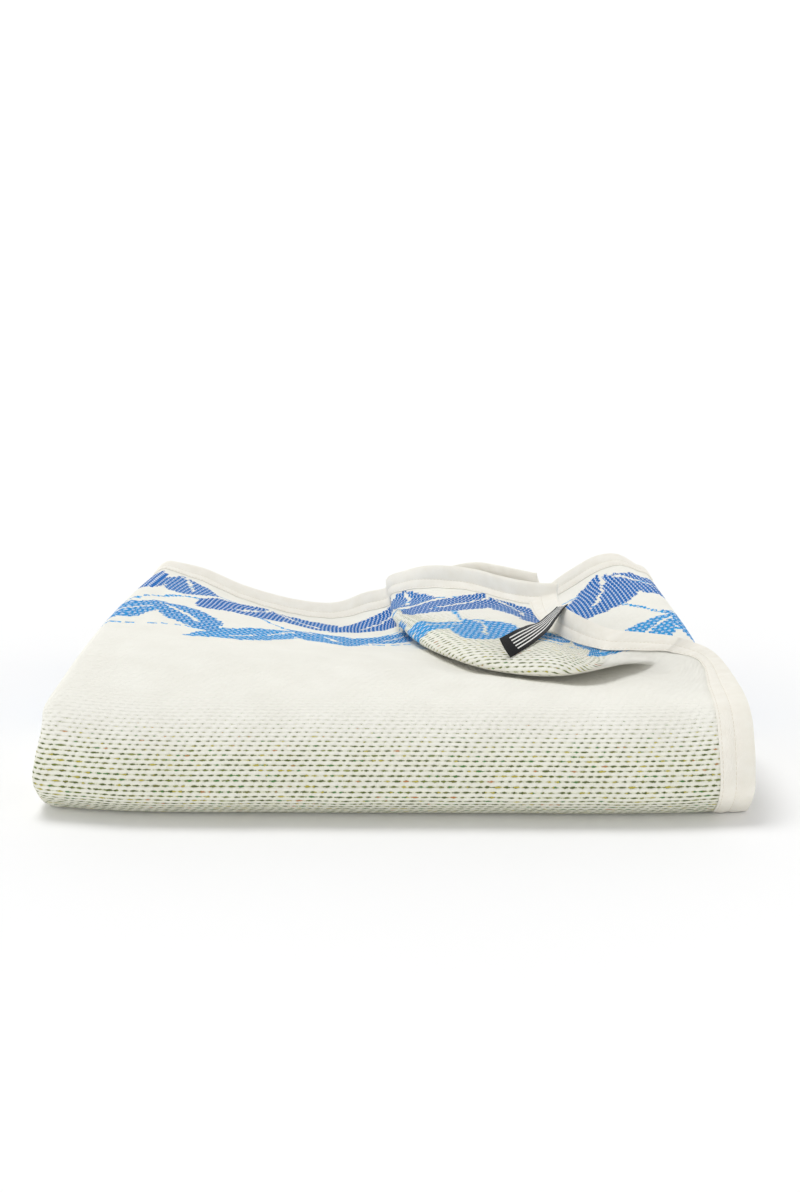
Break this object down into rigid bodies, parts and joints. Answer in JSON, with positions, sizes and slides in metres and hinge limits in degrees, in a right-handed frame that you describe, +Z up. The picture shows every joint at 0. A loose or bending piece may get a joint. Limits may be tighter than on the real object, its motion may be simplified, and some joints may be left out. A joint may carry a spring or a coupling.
{
  "type": "beach towel",
  "caption": "Folded beach towel of ribbed cotton weave with a wide taped edge, a turned-back corner flap and a small woven label; lies flat on a surface",
  "frame": {"origin": "on the surface that the folded towel lies on, at the middle of its footprint", "axes": "+Z up, the smooth front fold towards -Y, the flap with the label towards +X"},
  "size_m": [0.383, 0.375, 0.0849],
  "materials": {
    "ribbed_cotton": "matt ribbed cotton weave, cream with a printed blue leaf border and coloured flecks between the ribs",
    "twill_tape": "matt cotton twill tape, cream, with two rows of stitching",
    "label_tape": "woven satin label, black with white lines"
  },
  "bodies": {
    "root": {"towel_cloth": "ribbed_cotton", "edge_tape": "twill_tape", "woven_label": "label_tape"}
  },
  "joints": []
}
